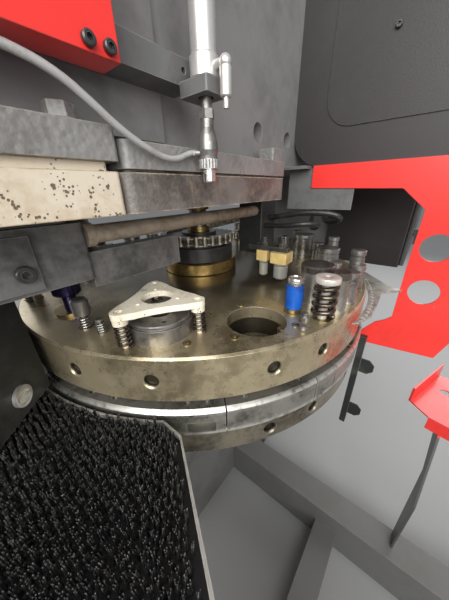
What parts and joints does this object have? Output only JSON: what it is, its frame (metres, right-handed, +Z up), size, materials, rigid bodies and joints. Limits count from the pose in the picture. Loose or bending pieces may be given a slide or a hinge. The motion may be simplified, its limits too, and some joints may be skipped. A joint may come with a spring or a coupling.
{
  "type": "cnc turret punch press",
  "caption": "Sheet metal punch press with a C-shaped frame, paired rotating tool turrets, a ram, a brush table and a sliding clamp carriage.",
  "frame": {"origin": "on the floor under the middle of the whole machine", "axes": "+Z up, +Y from the operator's side to the column, +X to the operator's right"},
  "size_m": [3.8, 3.15, 2.15],
  "materials": {
    "frame_paint": "worn satin paint",
    "head_paint": "hammered satin paint",
    "worn_casting": "oily, worn to bare metal at the edges",
    "machined_beige": "pitted matt",
    "ram_steel": "ground",
    "turret_bronze_steel": "oily brown steel",
    "shaft_steel": "oily",
    "brass": "tarnished",
    "black_hub": "oily",
    "tool_steel": "satin",
    "lifter_steel": "bright with brown stains",
    "spring_steel": "dark oiled",
    "blue_rubber": "satin",
    "purple_tool": "dark heat-tinted",
    "die_steel": "satin, scratched",
    "chain_steel": "oily",
    "cylinder_grey": "satin",
    "rod_steel": "rust stained",
    "red_paint": "gloss enamel",
    "dark_screws": "blackened",
    "bare_aluminium": "satin",
    "cable_grey": "matt",
    "cover_black": "satin",
    "door_grey": "satin",
    "manifold_black": "oily",
    "amber_plastic": "clear amber",
    "hose_rubber": "matt",
    "nose_dark": "satin",
    "latch_brass": "bright",
    "base_paint": "worn satin",
    "table_paint": "matt",
    "bristle_black": "bristles",
    "bridge_paint": "satin",
    "carriage_paint": "satin",
    "jaw_steel": "satin",
    "mesh_steel": "galvanised"
  },
  "bodies": {
    "frame": {"c_frame": "frame_paint", "head_plates": "head_paint", "turret_carrier": "worn_casting", "machined_block": "machined_beige", "ram_guide": "worn_casting", "ram_cylinder": "frame_paint", "turret_motor": "frame_paint", "index_cylinders": "cylinder_grey", "guide_rod": "rod_steel", "head_cover": "red_paint", "socket_screws": "dark_screws", "brackets": "head_paint", "air_cylinder": "bare_aluminium", "sensor_head": "bare_aluminium", "sensor_cable": "cable_grey", "drive_cover": "cover_black", "side_cabinet": "cover_black", "red_guard": "red_paint", "air_manifold": "manifold_black", "filter_bowls": "amber_plastic", "air_hoses": "hose_rubber", "nose_guard": "nose_dark", "base_beams": "base_paint", "middle_table": "table_paint", "table_brushes": "bristle_black", "hanger_post": "manifold_black", "mesh_guard": "mesh_steel", "upper_chain": "chain_steel", "lower_chain": "chain_steel"},
    "upper_turret": {"upper_disc": "turret_bronze_steel", "upper_shaft": "shaft_steel", "brass_collars": "brass", "upper_sprocket": "black_hub", "station_bushes": "brass", "seated_tools": "tool_steel", "lifter_springs": "spring_steel", "heavy_spring": "spring_steel", "blue_sleeve": "blue_rubber"},
    "lifter": {"lifter_plate": "lifter_steel"},
    "heavy_cap": {"heavy_spring_cap": "lifter_steel"},
    "blue_cap": {"blue_tool_cap": "tool_steel"},
    "large_canister": {"canister_large": "tool_steel"},
    "small_canister": {"canister_small": "tool_steel"},
    "punch": {"ram_tool": "purple_tool"},
    "press_ram": {"ram": "ram_steel"},
    "lower_turret": {"lower_disc": "turret_bronze_steel", "die_holders": "die_steel", "dies": "die_steel", "lower_shaft": "shaft_steel"},
    "drive": {"drive_shaft": "shaft_steel"},
    "upper_lock": {"upper_index_pin": "ram_steel"},
    "lower_lock": {"lower_index_pin": "ram_steel"},
    "stop": {"stop_pin": "ram_steel"},
    "door": {"cabinet_door": "door_grey"},
    "latch": {"guard_latch": "latch_brass"},
    "sheet_bridge": {"side_tables": "table_paint", "side_brushes": "bristle_black", "bridge": "bridge_paint"},
    "carriage": {"x_carriage": "carriage_paint"},
    "jaws": {"clamp_jaws": "jaw_steel"}
  },
  "joints": [
    {"name": "upper_turret_spin", "type": "hinge", "parent": "frame", "child": "upper_turret", "pos_m": [0, 0.075, 1.1], "axis": [0, 0, 1], "continuous": true, "deforming": ["upper_chain", "lower_chain"]},
    {"name": "lower_turret_spin", "type": "hinge", "parent": "frame", "child": "lower_turret", "pos_m": [0, 0.075, 0.9], "axis": [0, 0, 1], "continuous": true},
    {"name": "drive_spin", "type": "hinge", "parent": "frame", "child": "drive", "pos_m": [-0.11225, 0.71162, 1.1], "axis": [0, 0, 1], "continuous": true},
    {"name": "ram_slide", "type": "slide", "parent": "frame", "child": "press_ram", "axis": [0, 0, -1], "range_m": [0, 0.035]},
    {"name": "ram_tool_plunge", "type": "slide", "parent": "upper_turret", "child": "punch", "axis": [0, 0, -1], "range_m": [0, 0.035]},
    {"name": "lifter_plunge", "type": "slide", "parent": "upper_turret", "child": "lifter", "axis": [0, 0, -1], "range_m": [0, 0.02], "stiffness_N_per_m": 20000, "springref_m": -0.004, "deforming": ["lifter_springs"]},
    {"name": "heavy_spring_plunge", "type": "slide", "parent": "upper_turret", "child": "heavy_cap", "axis": [0, 0, -1], "range_m": [0, 0.02], "stiffness_N_per_m": 20000, "springref_m": -0.004, "deforming": ["heavy_spring"]},
    {"name": "blue_tool_plunge", "type": "slide", "parent": "upper_turret", "child": "blue_cap", "axis": [0, 0, -1], "range_m": [0, 0.01], "stiffness_N_per_m": 20000, "springref_m": -0.004, "deforming": ["blue_sleeve"]},
    {"name": "large_canister_plunge", "type": "slide", "parent": "upper_turret", "child": "large_canister", "axis": [0, 0, -1], "range_m": [0, 0.008], "stiffness_N_per_m": 20000, "springref_m": -0.004},
    {"name": "small_canister_plunge", "type": "slide", "parent": "upper_turret", "child": "small_canister", "axis": [0, 0, -1], "range_m": [0, 0.008], "stiffness_N_per_m": 20000, "springref_m": -0.004},
    {"name": "upper_lock_slide", "type": "slide", "parent": "frame", "child": "upper_lock", "axis": [0, -1, 0], "range_m": [0, 0.016]},
    {"name": "lower_lock_slide", "type": "slide", "parent": "frame", "child": "lower_lock", "axis": [0, -1, 0], "range_m": [0, 0.016]},
    {"name": "stop_pin_slide", "type": "slide", "parent": "frame", "child": "stop", "axis": [0, 0, -1], "range_m": [0, 0.02], "stiffness_N_per_m": 600, "springref_m": -0.01},
    {"name": "bridge_slide", "type": "slide", "parent": "frame", "child": "sheet_bridge", "axis": [0, 1, 0], "range_m": [0, 0.65]},
    {"name": "carriage_slide", "type": "slide", "parent": "sheet_bridge", "child": "carriage", "axis": [1, 0, 0], "range_m": [-1.3, 1.3]},
    {"name": "clamp_opening", "type": "hinge", "parent": "carriage", "child": "jaws", "pos_m": [0, -1.365, 1.0295], "axis": [1, 0, 0], "range_deg": [0, 25]},
    {"name": "door_swing", "type": "hinge", "parent": "frame", "child": "door", "pos_m": [0.574, 1.449, 1.2], "axis": [0, 0, 1], "range_deg": [0, 110]},
    {"name": "latch_turn", "type": "hinge", "parent": "frame", "child": "latch", "pos_m": [0.139, -0.524, 1.04], "axis": [0.7217, 0.6922, 0], "range_deg": [0, 90]}
  ],
  "couplings": [
    {"joint": "lower_turret_spin", "follows": "upper_turret_spin", "ratio": 1},
    {"joint": "drive_spin", "follows": "upper_turret_spin", "ratio": 1.5},
    {"joint": "ram_tool_plunge", "follows": "ram_slide", "ratio": 1},
    {"joint": "lower_lock_slide", "follows": "upper_lock_slide", "ratio": 1}
  ]
}
